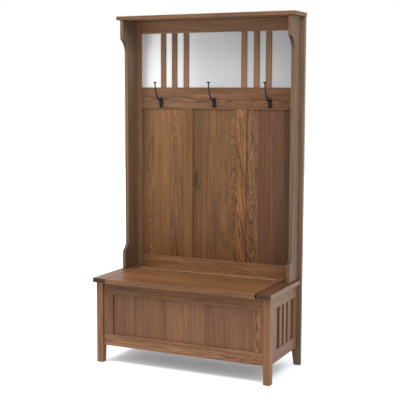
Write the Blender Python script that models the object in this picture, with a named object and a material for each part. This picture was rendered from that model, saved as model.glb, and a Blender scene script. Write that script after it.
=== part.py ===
"""Hall tree: a bench with a lidded chest, a panelled back with a slatted mirror, and three coat hooks.

X is the width, -Y is the front and +Z is up. The origin is on the floor, under the middle of the
bounding box. Sizes are in metres. Places along the depth are given as a distance from the back.
"""

import math

import bmesh
import bpy
from mathutils import Vector

# Clearances
GAP = 0.0003                    # between pieces that touch
LID_SIDE_GAP = 0.0030           # between the lid and each end board

# Whole piece
OVERALL_HEIGHT = 1.829
CROWN_WIDTH = 1.016
CROWN_DEPTH = 0.175
CROWN_THICK = 0.020
CROWN_NOSE = 0.007              # the crown's front edge before the side boards
LID_FRONT = 0.457               # the lid's front edge, from the back
SEAT_HEIGHT = 0.457
SEAT_THICK = 0.024

# Rear posts, from the floor to the crown
POST_SETBACK = 0.002            # inside each end of the crown
POST_WIDTH = 0.065
POST_THICK = 0.022
POST_FOOT_WIDTH = 0.037
POST_TAPER_HEIGHT = 0.188

# Side boards, standing on the seat's end boards
SIDE_BOARD_SETBACK = 0.018      # inside each post's outer edge
SIDE_BOARD_THICK = 0.019
BRACKET_STEP = 0.048            # how far the bracket stands before the middle stretch
SHOE_STEP = 0.036               # how far the shoe stands before the middle stretch
BRACKET_DROP = 0.101            # from the crown down to the bracket's cove
BRACKET_COVE_HEIGHT = 0.064
BRACKET_COVE_HOLLOW = 0.010
SHOE_HEIGHT = 0.099             # from the seat up to the shoe's cove
SHOE_COVE_HEIGHT = 0.040
SHOE_COVE_HOLLOW = 0.004

# Back frame, between the posts
BACK_THICK = 0.015
TOP_RAIL_HEIGHT = 0.066
MIRROR_HEIGHT = 0.291
HOOK_RAIL_HEIGHT = 0.114
BOTTOM_RAIL_RISE = 0.064        # the bottom rail above the seat
BOTTOM_RAIL_DROP = 0.038        # and below the seat boards
MUNTIN_WIDTH = 0.058
PANEL_THICK = 0.006
PANEL_RECESS = 0.006
GROOVE_DEPTH = 0.008

# Mirror and the slats in front of it
SLAT_WIDTH = 0.030
SLAT_PLACES = (0.134, 0.2015, 0.272)    # slat centres, from the posts' inner edges
SLAT_THICK = 0.006
MIRROR_THICK = 0.004
MIRROR_BACKING_THICK = 0.003
MIRROR_LAP = 0.006              # how far the mirror runs behind its frame

# Coat hooks
HOOK_SPACING = 0.318
HOOK_PLATE_HEIGHT = 0.060
HOOK_PLATE_WIDTH = 0.024
HOOK_PLATE_THICK = 0.0032
HOOK_PLATE_RISE = 0.0345        # from the hook rail's lower edge to the plate's middle
HOOK_REACH = 0.075              # from the rail to the knob
HOOK_KNOB_RISE = 0.102          # from the plate's middle up to the knob's rim
LONG_PRONG_RISE = 0.010         # where it leaves the plate, above the plate's middle
LONG_PRONG_RADIUS = (0.0058, 0.0036)    # at the plate and at the knob
LONG_PRONG_BEND = (0.034, 0.007)        # first bend: out from the plate, and down from the start
LONG_PRONG_CURL = (0.004, 0.028)        # second bend: back from the knob, and up from the start
LONG_PRONG_LAP = 0.002          # how far the prong runs past the knob's rim
KNOB_RADIUS = 0.010
KNOB_THICK = 0.008
KNOB_STEPS = ((0.55, 0.00), (1.00, 0.30), (0.96, 0.55), (0.72, 0.85), (0.30, 1.00))
SHORT_PRONG_DROP = 0.0195       # where it leaves the plate, below the plate's middle
SHORT_PRONG_RADIUS = (0.0042, 0.0034)
SHORT_PRONG_BEND = (0.007, 0.0025)      # first bend: out from the plate, and down from the start
SHORT_PRONG_CURL = (0.001, 0.0075)      # second bend: back from the ball, and down from the start
SHORT_PRONG_LAP = 0.0015        # how far below the ball's middle the prong ends
SHORT_REACH = 0.0165            # from the plate to the ball
BALL_DROP = 0.0125              # the ball's middle below the plate's middle
BALL_RADIUS = 0.006
BALL_POLE = 0.04                # share of the half turn taken by each small flat

# Bench legs and frames
LEG_PROUD = 0.004               # the legs' outer faces outside the side boards
LEG_WIDTH = 0.038
LEG_FOOT_WIDTH = 0.0355
LEG_FOOT_DEPTH = 0.0350
FRAME_THICK = 0.019
FRAME_INSET = 0.008             # behind the legs' faces
RAIL_BOTTOM = 0.094
BOTTOM_FRAME_RAIL_HEIGHT = 0.062
TOP_FRAME_RAIL_HEIGHT = 0.065
FRONT_STILE_WIDTH = 0.056
FRONT_PANEL_RECESS = 0.009
SIDE_FRONT_STILE_WIDTH = 0.068
SIDE_REAR_STILE_WIDTH = 0.048
SIDE_SLAT_WIDTH = 0.034
SIDE_SLAT_THICK = 0.009
SIDE_SLAT_INSET = 0.002
SIDE_NARROW_GAP = 0.026
SIDE_PANEL_THICK = 0.005

# Chest inside
CHEST_BOTTOM_THICK = 0.012
CHEST_BOTTOM_RISE = 0.010       # from the rails' lower edge to the bottom's underside
CHEST_BACK_THICK = 0.006
CHEST_GROOVE = 0.006

# Seat boards
END_BOARD_WIDTH = 0.077
END_OVERHANG = 0.009            # outside the legs
FRONT_OVERHANG = 0.023          # before the legs
LID_NOSE = 0.008                # the lid's front edge before the end boards
HINGE_LINE = 0.100              # the hinge's axis, from the back

# Piano hinge between the hinge strip and the lid
HINGE_SHORTER = 0.022           # inside each end of the lid
HINGE_KNUCKLES = 25
HINGE_LEAF_THICK = 0.0010
HINGE_LEAF_HEIGHT = 0.018
HINGE_BARREL_RADIUS = 0.0020
HINGE_PIN_RADIUS = 0.0010
HINGE_PIN_GAP = 0.0002
HINGE_LEAF_GAP = 0.0004         # between the two leaves
KNUCKLE_GAP = 0.0006
SEAM_CHAMFER = 0.0012           # on the strip's and the lid's upper edges, clear of the barrel

SIDES = (("left", -1), ("right", 1))
SMOOTH_ANGLE = 40               # degrees between faces that still shade as one
CURVE_STEP = 0.01               # share of a curve each way that gives its direction

# Worked out from the above: heights
CROWN_UNDER = OVERALL_HEIGHT - CROWN_THICK
SEAT_UNDER = SEAT_HEIGHT - SEAT_THICK
TOP_RAIL_BOTTOM = CROWN_UNDER - TOP_RAIL_HEIGHT
HOOK_RAIL_TOP = TOP_RAIL_BOTTOM - MIRROR_HEIGHT
HOOK_RAIL_BOTTOM = HOOK_RAIL_TOP - HOOK_RAIL_HEIGHT
BOTTOM_RAIL_TOP = SEAT_HEIGHT + BOTTOM_RAIL_RISE
BOTTOM_RAIL_UNDER = SEAT_UNDER - BOTTOM_RAIL_DROP
FRAME_TOP = SEAT_UNDER - GAP
FRAME_OPENING_TOP = FRAME_TOP - TOP_FRAME_RAIL_HEIGHT
FRAME_OPENING_BOTTOM = RAIL_BOTTOM + BOTTOM_FRAME_RAIL_HEIGHT
HINGE_AXIS_HEIGHT = SEAT_HEIGHT + HINGE_BARREL_RADIUS + HINGE_LEAF_GAP

# Worked out: places across
POST_OUTER = CROWN_WIDTH / 2 - POST_SETBACK
POST_INNER = POST_OUTER - POST_WIDTH
SIDE_BOARD_OUTER = POST_OUTER - SIDE_BOARD_SETBACK
LEG_OUTER = SIDE_BOARD_OUTER + LEG_PROUD
LEG_INNER = LEG_OUTER - LEG_WIDTH
SIDE_FACE = LEG_OUTER - FRAME_INSET
SIDE_INNER_FACE = SIDE_FACE - FRAME_THICK
FRONT_PANEL_EDGE = LEG_INNER - FRONT_STILE_WIDTH
END_BOARD_OUTER = LEG_OUTER + END_OVERHANG
END_BOARD_INNER = END_BOARD_OUTER - END_BOARD_WIDTH
LID_HALF = END_BOARD_INNER - LID_SIDE_GAP
HINGE_HALF = LID_HALF - HINGE_SHORTER
BACK_PANEL_WIDTH = (2 * POST_INNER - 2 * MUNTIN_WIDTH) / 3

# Worked out: places from the back
BACK_Y = LID_FRONT / 2
BRACKET_DEPTH = CROWN_DEPTH - CROWN_NOSE
NARROW_DEPTH = BRACKET_DEPTH - BRACKET_STEP
SHOE_DEPTH = NARROW_DEPTH + SHOE_STEP
END_BOARD_FRONT = LID_FRONT - LID_NOSE
LEG_FRONT = END_BOARD_FRONT - FRONT_OVERHANG
LEG_REAR = LEG_FRONT - LEG_WIDTH
FRONT_FACE = LEG_FRONT - FRAME_INSET
SIDE_OPENING_REAR = POST_THICK + SIDE_REAR_STILE_WIDTH
SIDE_OPENING_FRONT = LEG_REAR - SIDE_FRONT_STILE_WIDTH
HALF_SEAM = HINGE_LEAF_GAP / 2 + HINGE_LEAF_THICK + GAP


def clear_scene():
    for old in list(bpy.data.objects):
        bpy.data.objects.remove(old, do_unlink=True)


def finish_material(name, look):
    material = bpy.data.materials.new(name)
    material.use_nodes = True
    shader = material.node_tree.nodes["Principled BSDF"]
    colour, roughness, metallic = look
    shader.inputs["Base Color"].default_value = (*colour, 1)
    shader.inputs["Roughness"].default_value = roughness
    shader.inputs["Metallic"].default_value = metallic
    return material


LOOKS = {
    "oak": ((0.205, 0.098, 0.048), 0.42, 0.0),
    "board": ((0.260, 0.160, 0.090), 0.75, 0.0),
    "mirror": ((0.880, 0.900, 0.900), 0.03, 1.0),
    "bronze": ((0.035, 0.026, 0.020), 0.38, 0.85),
    "brass": ((0.560, 0.400, 0.190), 0.30, 1.0),
}


def finish_object(name, bm, look, centre):
    """Make an object from a mesh drawn in world places, with its origin at centre."""
    bmesh.ops.recalc_face_normals(bm, faces=bm.faces)
    bmesh.ops.translate(bm, verts=bm.verts, vec=-Vector(centre))
    mesh = bpy.data.meshes.new(name)
    bm.to_mesh(mesh)
    bm.free()
    made = bpy.data.objects.new(name, mesh)
    made.location = centre
    bpy.context.scene.collection.objects.link(made)
    if look:
        mesh.materials.append(finish_material(name, LOOKS[look]))
    return made


def smooth_round_faces(made):
    """Shade faces that meet at a shallow angle as one smooth surface."""
    made.data.shade_smooth()
    made.data.set_sharp_from_angle(angle=math.radians(SMOOTH_ANGLE))


def world(across, from_back, height):
    return Vector((across, BACK_Y - from_back, height))


def ring_solid(rings):
    """A closed solid through rings of points, each ring joined to the next, with flat ends."""
    bm = bmesh.new()
    loops = [[bm.verts.new(point) for point in ring] for ring in rings]
    count = len(rings[0])
    for low, high in zip(loops, loops[1:]):
        for index in range(count):
            after = (index + 1) % count
            bm.faces.new((low[index], low[after], high[after], high[index]))
    bm.faces.new(list(reversed(loops[0])))
    bm.faces.new(loops[-1])
    return bm


def corners(across, from_back, height):
    """The four corners of a level rectangle."""
    (x0, x1), (d0, d1) = sorted(across), sorted(from_back)
    return [world(x, d, height) for x, d in ((x0, d0), (x1, d0), (x1, d1), (x0, d1))]


def board(name, across, from_back, heights, look="oak"):
    """A rectangular board, given by its two limits along each direction."""
    bottom, top = sorted(heights)
    bm = ring_solid([corners(across, from_back, bottom), corners(across, from_back, top)])
    middle = world(sum(across) / 2, sum(from_back) / 2, (bottom + top) / 2)
    return finish_object(name, bm, look, middle)


def side_range(sign, inner, outer):
    return tuple(sorted((sign * inner, sign * outer)))


def plate_across(name, outline, across, look="oak"):
    """A flat outline of (from back, height) points, as thick as across is wide."""
    x0, x1 = sorted(across)
    bm = ring_solid([[world(x, d, z) for d, z in outline] for x in (x0, x1)])
    middle_d = sum(d for d, _ in outline) / len(outline)
    middle_z = sum(z for _, z in outline) / len(outline)
    return finish_object(name, bm, look, world((x0 + x1) / 2, middle_d, middle_z))


def plate_facing(name, outline, from_back, look="oak"):
    """A flat outline of (across, height) points that faces the front."""
    d0, d1 = sorted(from_back)
    bm = ring_solid([[world(x, d, z) for x, z in outline] for d in (d0, d1)])
    middle_x = sum(x for x, _ in outline) / len(outline)
    middle_z = sum(z for _, z in outline) / len(outline)
    return finish_object(name, bm, look, world(middle_x, (d0 + d1) / 2, middle_z))


def cut(target, cutter, operation="DIFFERENCE"):
    """Cut the target with the cutter, or join the cutter to it, and hide the cutter."""
    modifier = target.modifiers.new(cutter.name, "BOOLEAN")
    modifier.operation = operation
    modifier.solver = "EXACT"
    modifier.object = cutter
    cutter.hide_render = True
    cutter.display_type = "WIRE"


def room_for(name, across, from_back, heights):
    """A cutter as large as a board with its fitting gap all round."""
    grown = [(min(pair) - GAP, max(pair) + GAP) for pair in (across, from_back, heights)]
    return board(name + "_room", *grown, look=None)


def hollow_curve(start, end, hollow, steps=8):
    """Points from start to end along an arc that bows by hollow, to the left of the way it runs."""
    start, end = Vector(start), Vector(end)
    chord = end - start
    left = Vector((-chord.y, chord.x)).normalized()
    points = []
    for step in range(steps + 1):
        share = step / steps
        bow = 4 * share * (1 - share) * hollow
        points.append(tuple(start + chord * share + left * bow))
    return points


def make_crown():
    half = CROWN_WIDTH / 2
    board("crown_board", (-half, half), (0, CROWN_DEPTH), (CROWN_UNDER, OVERALL_HEIGHT))


def make_posts():
    posts = []
    for side, sign in SIDES:
        foot_inner = POST_OUTER - POST_FOOT_WIDTH
        outline = [
            (sign * foot_inner, 0),
            (sign * POST_OUTER, 0),
            (sign * POST_OUTER, CROWN_UNDER - GAP),
            (sign * POST_INNER, CROWN_UNDER - GAP),
            (sign * POST_INNER, POST_TAPER_HEIGHT),
        ]
        posts.append(plate_facing("rear_post_" + side, outline, (0, POST_THICK)))
    return posts


def make_side_boards():
    """Boards set edge-on before the posts, each with a bracket at its top and a shoe at its foot."""
    foot = SEAT_HEIGHT + GAP
    top = CROWN_UNDER - GAP
    rear = POST_THICK + GAP
    bracket_low = CROWN_UNDER - BRACKET_DROP
    shoe_top = SEAT_HEIGHT + SHOE_HEIGHT
    bracket = ((BRACKET_DEPTH, bracket_low), (NARROW_DEPTH, bracket_low - BRACKET_COVE_HEIGHT))
    upper_cove = hollow_curve(*bracket, -BRACKET_COVE_HOLLOW)
    shoe = ((NARROW_DEPTH, shoe_top + SHOE_COVE_HEIGHT), (SHOE_DEPTH, shoe_top))
    lower_cove = hollow_curve(*shoe, -SHOE_COVE_HOLLOW)
    outline = [(rear, foot), (rear, top), (BRACKET_DEPTH, top)]
    outline += upper_cove + lower_cove + [(SHOE_DEPTH, foot)]
    for side, sign in SIDES:
        across = side_range(sign, SIDE_BOARD_OUTER - SIDE_BOARD_THICK, SIDE_BOARD_OUTER)
        plate_across("side_board_" + side, outline, across)


def make_back_frame(posts):
    inner = POST_INNER - GAP
    depth = (0, BACK_THICK)
    top_rail = board("back_top_rail", (-inner, inner), depth, (TOP_RAIL_BOTTOM, CROWN_UNDER - GAP))
    hook_rail = board("hook_rail", (-inner, inner), depth, (HOOK_RAIL_BOTTOM, HOOK_RAIL_TOP))
    bottom_heights = (BOTTOM_RAIL_UNDER, BOTTOM_RAIL_TOP)
    bottom_rail = board("back_bottom_rail", (-inner, inner), depth, bottom_heights)
    muntins = []
    for side, sign in SIDES:
        muntin_inner = BACK_PANEL_WIDTH / 2
        across = side_range(sign, muntin_inner, muntin_inner + MUNTIN_WIDTH)
        heights = (BOTTOM_RAIL_TOP + GAP, HOOK_RAIL_BOTTOM - GAP)
        muntins.append(board("back_muntin_" + side, across, depth, heights))
    make_back_panels(posts, muntins, hook_rail, bottom_rail)
    make_mirror(posts, top_rail, hook_rail)


def make_back_panels(posts, muntins, hook_rail, bottom_rail):
    """Three flat panels of one width, each held in grooves round its opening."""
    front = BACK_THICK - PANEL_RECESS
    depth = (front - PANEL_THICK, front)
    heights = (BOTTOM_RAIL_TOP - GROOVE_DEPTH, HOOK_RAIL_BOTTOM + GROOVE_DEPTH)
    pitch = BACK_PANEL_WIDTH + MUNTIN_WIDTH
    half = BACK_PANEL_WIDTH / 2 + GROOVE_DEPTH
    stiles = [posts[0], muntins[0], muntins[1], posts[1]]
    for place, name in enumerate(("left", "centre", "right")):
        middle = (place - 1) * pitch
        across = (middle - half, middle + half)
        board("back_panel_" + name, across, depth, heights)
        room = room_for("back_panel_" + name, across, depth, heights)
        for member in (stiles[place], stiles[place + 1], hook_rail, bottom_rail):
            cut(member, room)


def make_mirror(posts, top_rail, hook_rail):
    """A mirror sheet and its backing in a rabbet, behind six upright slats."""
    slat_rear = BACK_THICK - SLAT_THICK
    glass = (slat_rear - GAP - MIRROR_THICK, slat_rear - GAP)
    backing = (glass[0] - GAP - MIRROR_BACKING_THICK, glass[0] - GAP)
    reach = POST_INNER + MIRROR_LAP
    across = (-reach, reach)
    heights = (HOOK_RAIL_TOP - MIRROR_LAP, TOP_RAIL_BOTTOM + MIRROR_LAP)
    board("mirror_glass", across, glass, heights, "mirror")
    board("mirror_backing", across, backing, heights, "board")
    room = room_for("mirror", across, (-BACK_THICK, glass[1]), heights)
    for member in (*posts, top_rail, hook_rail):
        cut(member, room)
    for side, sign in SIDES:
        for number, place in enumerate(SLAT_PLACES, start=1):
            middle = sign * (POST_INNER - place)
            span = (middle - SLAT_WIDTH / 2, middle + SLAT_WIDTH / 2)
            heights = (HOOK_RAIL_TOP + GAP, TOP_RAIL_BOTTOM - GAP)
            board(f"mirror_slat_{side}_{number}", span, (slat_rear, BACK_THICK), heights)


def bezier(points, share):
    """A point on the cubic curve through four control points."""
    rest = 1 - share
    weights = (rest ** 3, 3 * rest ** 2 * share, 3 * rest * share ** 2, share ** 3)
    return sum((Vector(point) * weight for point, weight in zip(points, weights)), Vector((0, 0)))


def prong(name, middle_x, controls, radii, steps=12, sides=14):
    """A tapered round bar along a curve of (from back, height) points."""
    root_radius, tip_radius = radii
    rings = []
    for step in range(steps + 1):
        share = step / steps
        here = bezier(controls, share)
        ahead = bezier(controls, min(share + CURVE_STEP, 1)) - bezier(controls, max(share - CURVE_STEP, 0))
        across_path = Vector((-ahead.y, ahead.x)).normalized()
        radius = root_radius + (tip_radius - root_radius) * share
        ring = []
        for index in range(sides):
            turn = 2 * math.pi * index / sides
            off = across_path * (radius * math.cos(turn))
            ring.append(world(middle_x + radius * math.sin(turn), here.x + off.x, here.y + off.y))
        rings.append(ring)
    return finish_object(name, ring_solid(rings), None, rings[0][0])


def turned(name, centre, profile, sides=24):
    """A solid turned about an upright axis, from (radius, height) points, low to high."""
    rings = []
    for radius, height in profile:
        turns = (2 * math.pi * index / sides for index in range(sides))
        rings.append([centre + Vector((radius * math.cos(t), radius * math.sin(t), height)) for t in turns])
    return finish_object(name, ring_solid(rings), None, centre)


def ball_profile(radius, steps=10):
    """Radius and height along a ball with small flats at its poles."""
    shares = (BALL_POLE + (1 - 2 * BALL_POLE) * step / steps for step in range(steps + 1))
    return [(radius * math.sin(math.pi * share), -radius * math.cos(math.pi * share)) for share in shares]


def hook_plate(name, middle_x, middle_z, face, sides=28):
    """An oval plate against the rail."""
    outline = []
    for index in range(sides):
        turn = 2 * math.pi * index / sides
        outline.append((middle_x + HOOK_PLATE_WIDTH / 2 * math.cos(turn),
                        middle_z + HOOK_PLATE_HEIGHT / 2 * math.sin(turn)))
    return plate_facing(name, outline, (face, face + HOOK_PLATE_THICK), "bronze")


def make_hook(name, middle_x):
    """A cast hook: an oval plate, a long upper prong with a knob, and a short one with a ball."""
    face = BACK_THICK + GAP
    middle_z = HOOK_RAIL_BOTTOM + HOOK_PLATE_RISE
    hook = hook_plate(name, middle_x, middle_z, face)
    root = face + HOOK_PLATE_THICK / 2

    knob_out = face + HOOK_REACH
    rim = middle_z + HOOK_KNOB_RISE
    long_start = middle_z + LONG_PRONG_RISE
    long_bend = (root + LONG_PRONG_BEND[0], long_start - LONG_PRONG_BEND[1])
    long_curl = (knob_out - LONG_PRONG_CURL[0], long_start + LONG_PRONG_CURL[1])
    long_curve = ((root, long_start), long_bend, long_curl, (knob_out, rim + LONG_PRONG_LAP))
    knob = [(KNOB_RADIUS * wide, KNOB_THICK * high) for wide, high in KNOB_STEPS]

    ball_out = root + SHORT_REACH
    short_start = middle_z - SHORT_PRONG_DROP
    ball_middle = middle_z - BALL_DROP
    short_bend = (root + SHORT_PRONG_BEND[0], short_start - SHORT_PRONG_BEND[1])
    short_curl = (ball_out - SHORT_PRONG_CURL[0], short_start - SHORT_PRONG_CURL[1])
    short_curve = ((root, short_start), short_bend, short_curl, (ball_out, ball_middle - SHORT_PRONG_LAP))
    pieces = [
        prong(name + "_long_prong", middle_x, long_curve, LONG_PRONG_RADIUS),
        prong(name + "_short_prong", middle_x, short_curve, SHORT_PRONG_RADIUS),
        turned(name + "_knob", world(middle_x, knob_out, rim), knob),
        turned(name + "_ball", world(middle_x, ball_out, ball_middle), ball_profile(BALL_RADIUS)),
    ]
    for piece in pieces:
        cut(hook, piece, "UNION")
    smooth_round_faces(hook)


def make_legs():
    """Square front legs with feet that taper on their inner and rear faces."""
    for side, sign in SIDES:
        foot_inner = LEG_OUTER - LEG_FOOT_WIDTH
        upper = (side_range(sign, LEG_INNER, LEG_OUTER), (LEG_REAR, LEG_FRONT))
        foot = (side_range(sign, foot_inner, LEG_OUTER), (LEG_FRONT - LEG_FOOT_DEPTH, LEG_FRONT))
        rings = [corners(*foot, 0), corners(*upper, RAIL_BOTTOM), corners(*upper, FRAME_TOP)]
        middle = world(sign * (LEG_INNER + LEG_OUTER) / 2, (LEG_REAR + LEG_FRONT) / 2, FRAME_TOP / 2)
        finish_object("front_leg_" + side, ring_solid(rings), "oak", middle)


def make_front_frame():
    """Two rails the full width between the legs, two stiles between them, and one panel."""
    inner = LEG_INNER - GAP
    depth = (FRONT_FACE - FRAME_THICK, FRONT_FACE)
    top_rail = board("front_top_rail", (-inner, inner), depth, (FRAME_OPENING_TOP, FRAME_TOP))
    bottom_rail = board("front_bottom_rail", (-inner, inner), depth, (RAIL_BOTTOM, FRAME_OPENING_BOTTOM))
    heights = (FRAME_OPENING_BOTTOM + GAP, FRAME_OPENING_TOP - GAP)
    stiles = []
    for side, sign in SIDES:
        across = side_range(sign, FRONT_PANEL_EDGE, inner)
        stiles.append(board("front_stile_" + side, across, depth, heights))
    reach = FRONT_PANEL_EDGE + GROOVE_DEPTH
    panel_front = FRONT_FACE - FRONT_PANEL_RECESS
    panel = ((-reach, reach), (panel_front - PANEL_THICK, panel_front),
             (FRAME_OPENING_BOTTOM - GROOVE_DEPTH, FRAME_OPENING_TOP + GROOVE_DEPTH))
    board("front_panel", *panel)
    room = room_for("front_panel", *panel)
    for member in (top_rail, bottom_rail, *stiles):
        cut(member, room)
    return bottom_rail


def make_side_frame(side, sign):
    """Rails, stiles and three slats, with a panel behind the slats."""
    across = side_range(sign, SIDE_INNER_FACE, SIDE_FACE)
    length = (POST_THICK + GAP, LEG_REAR - GAP)
    top_rail = board("side_top_rail_" + side, across, length, (FRAME_OPENING_TOP, FRAME_TOP))
    bottom_rail = board("side_bottom_rail_" + side, across, length, (RAIL_BOTTOM, FRAME_OPENING_BOTTOM))
    heights = (FRAME_OPENING_BOTTOM + GAP, FRAME_OPENING_TOP - GAP)
    front_stile = board("side_front_stile_" + side, across, (SIDE_OPENING_FRONT, length[1]), heights)
    rear_stile = board("side_rear_stile_" + side, across, (length[0], SIDE_OPENING_REAR), heights)

    slat_face = SIDE_FACE - SIDE_SLAT_INSET
    slat_across = side_range(sign, slat_face - SIDE_SLAT_THICK, slat_face)
    middle = (SIDE_OPENING_FRONT + SIDE_OPENING_REAR) / 2
    pitch = SIDE_SLAT_WIDTH + SIDE_NARROW_GAP
    for number in (1, 2, 3):
        centre = middle + (2 - number) * pitch
        span = (centre - SIDE_SLAT_WIDTH / 2, centre + SIDE_SLAT_WIDTH / 2)
        board(f"side_slat_{side}_{number}", slat_across, span, heights)

    panel_face = slat_face - SIDE_SLAT_THICK - GAP
    panel = (side_range(sign, panel_face - SIDE_PANEL_THICK, panel_face),
             (SIDE_OPENING_REAR - GROOVE_DEPTH, SIDE_OPENING_FRONT + GROOVE_DEPTH),
             (FRAME_OPENING_BOTTOM - GROOVE_DEPTH, FRAME_OPENING_TOP + GROOVE_DEPTH))
    board("side_panel_" + side, *panel)
    room = room_for("side_panel_" + side, *panel)
    for member in (top_rail, bottom_rail, front_stile, rear_stile):
        cut(member, room)
    return bottom_rail


def make_chest_inside(front_rail, side_rails):
    """The chest's bottom sits in grooves in the lower rails, and its back between the posts."""
    low = RAIL_BOTTOM + CHEST_BOTTOM_RISE
    high = low + CHEST_BOTTOM_THICK
    back_face = BACK_THICK
    wide = SIDE_INNER_FACE + CHEST_GROOVE
    between_legs = LEG_INNER - GAP
    between_posts = POST_INNER - GAP
    behind_legs = LEG_REAR - GAP
    before_posts = POST_THICK + GAP
    front = FRONT_FACE - FRAME_THICK + CHEST_GROOVE
    rear = back_face + GAP
    half = [(between_posts, rear), (between_posts, before_posts), (wide, before_posts),
            (wide, behind_legs), (between_legs, behind_legs), (between_legs, front)]
    outline = half + [(-x, d) for x, d in reversed(half)]
    rings = [[world(x, d, z) for x, d in outline] for z in (low, high)]
    finish_object("chest_bottom", ring_solid(rings), "board", world(0, (front + rear) / 2, low))

    for rail, (side, sign) in zip(side_rails, SIDES):
        across = side_range(sign, POST_INNER, wide)
        cut(rail, room_for("chest_bottom_" + side, across, (0, LEG_FRONT), (low, high)))
    cut(front_rail, room_for("chest_bottom_front", (-LEG_OUTER, LEG_OUTER), (rear, front), (low, high)))

    heights = (RAIL_BOTTOM, BOTTOM_RAIL_UNDER - GAP)
    board("chest_back", (-between_posts, between_posts), (back_face - CHEST_BACK_THICK, back_face),
          heights, "board")


def seam_board(name, seam, far, half_length):
    """A seat board with a chamfer on its upper edge at the hinge's seam."""
    inward = math.copysign(SEAM_CHAMFER, far - seam)
    outline = [
        (far, SEAT_UNDER),
        (seam, SEAT_UNDER),
        (seam, SEAT_HEIGHT - SEAM_CHAMFER),
        (seam + inward, SEAT_HEIGHT),
        (far, SEAT_HEIGHT),
    ]
    return plate_across(name, outline, (-half_length, half_length))


def make_seat():
    thickness = (SEAT_UNDER, SEAT_HEIGHT)
    for side, sign in SIDES:
        across = side_range(sign, END_BOARD_INNER, END_BOARD_OUTER)
        board("seat_end_board_" + side, across, (POST_THICK + GAP, END_BOARD_FRONT), thickness)
    seam_board("hinge_strip", HINGE_LINE - HALF_SEAM, BACK_THICK + GAP, END_BOARD_INNER - GAP)

    axis = bpy.data.objects.new("lid_axis", None)
    axis.location = world(0, HINGE_LINE, HINGE_AXIS_HEIGHT)
    bpy.context.scene.collection.objects.link(axis)
    lid = seam_board("seat_lid", HINGE_LINE + HALF_SEAM, LID_FRONT, LID_HALF)
    hang_on(axis, lid)
    return axis


def hang_on(axis, piece):
    """Parent a piece to the hinge's axis, without moving it."""
    piece.parent = axis
    piece.location = piece.location - axis.location


def knuckle_outline(toward_lid, steps=22):
    """A barrel with a neck down to its leaf, as (from back, height) points."""
    near = HINGE_LEAF_GAP / 2
    far = near + HINGE_LEAF_THICK
    start = math.asin(near / HINGE_BARREL_RADIUS)
    sweep = 2 * math.pi - math.asin(far / HINGE_BARREL_RADIUS) + start
    neck_foot = SEAT_HEIGHT - HINGE_LEAF_HEIGHT / 2
    points = [(HINGE_LINE + toward_lid * near, neck_foot)]
    for step in range(steps + 1):
        turn = start - sweep * step / steps
        points.append((HINGE_LINE + toward_lid * HINGE_BARREL_RADIUS * math.sin(turn),
                       HINGE_AXIS_HEIGHT - HINGE_BARREL_RADIUS * math.cos(turn)))
    points.append((HINGE_LINE + toward_lid * far, neck_foot))
    return points


def rod(name, radius, half_length, look=None, sides=16):
    """A round bar along the hinge's axis."""
    rings = []
    for x in (-half_length, half_length):
        turns = (2 * math.pi * index / sides for index in range(sides))
        rings.append([world(x, HINGE_LINE + radius * math.cos(t), HINGE_AXIS_HEIGHT + radius * math.sin(t))
                      for t in turns])
    made = finish_object(name, ring_solid(rings), look, world(0, HINGE_LINE, HINGE_AXIS_HEIGHT))
    smooth_round_faces(made)
    return made


def make_knuckles(name, first, toward_lid):
    """Every other knuckle along the hinge, as one cutter."""
    pitch = 2 * HINGE_HALF / HINGE_KNUCKLES
    outline = knuckle_outline(toward_lid)
    bm = bmesh.new()
    for index in range(first, HINGE_KNUCKLES, 2):
        low = -HINGE_HALF + index * pitch + KNUCKLE_GAP / 2
        high = low + pitch - KNUCKLE_GAP
        knuckle = ring_solid([[world(x, d, z) for d, z in outline] for x in (low, high)])
        spare = bpy.data.meshes.new("spare")
        knuckle.to_mesh(spare)
        knuckle.free()
        bm.from_mesh(spare)
        bpy.data.meshes.remove(spare)
    made = finish_object(name, bm, None, world(0, HINGE_LINE, HINGE_AXIS_HEIGHT))
    smooth_round_faces(made)
    return made


def make_leaf(name, first, toward_lid):
    near = HINGE_LINE + toward_lid * HINGE_LEAF_GAP / 2
    far = near + toward_lid * HINGE_LEAF_THICK
    heights = (SEAT_HEIGHT - HINGE_LEAF_HEIGHT, SEAT_HEIGHT)
    leaf = board(name, (-HINGE_HALF, HINGE_HALF), (near, far), heights, "brass")
    knuckles = make_knuckles(name + "_knuckles", first, toward_lid)
    bore = rod(name + "_bore", HINGE_PIN_RADIUS + HINGE_PIN_GAP, HINGE_HALF + KNUCKLE_GAP)
    cut(leaf, knuckles, "UNION")
    cut(leaf, bore)
    return leaf, knuckles, bore


def make_hinge(axis):
    make_leaf("hinge_leaf_fixed", 0, -1)
    for piece in make_leaf("hinge_leaf_lid", 1, 1):
        hang_on(axis, piece)
    rod("hinge_pin", HINGE_PIN_RADIUS, HINGE_HALF, "brass")


def build():
    clear_scene()
    make_crown()
    posts = make_posts()
    make_side_boards()
    make_back_frame(posts)
    for place, name in enumerate(("left", "centre", "right")):
        make_hook("coat_hook_" + name, (place - 1) * HOOK_SPACING)
    make_legs()
    front_rail = make_front_frame()
    side_rails = [make_side_frame(side, sign) for side, sign in SIDES]
    make_chest_inside(front_rail, side_rails)
    axis = make_seat()
    make_hinge(axis)


build()
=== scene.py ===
import math

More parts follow.
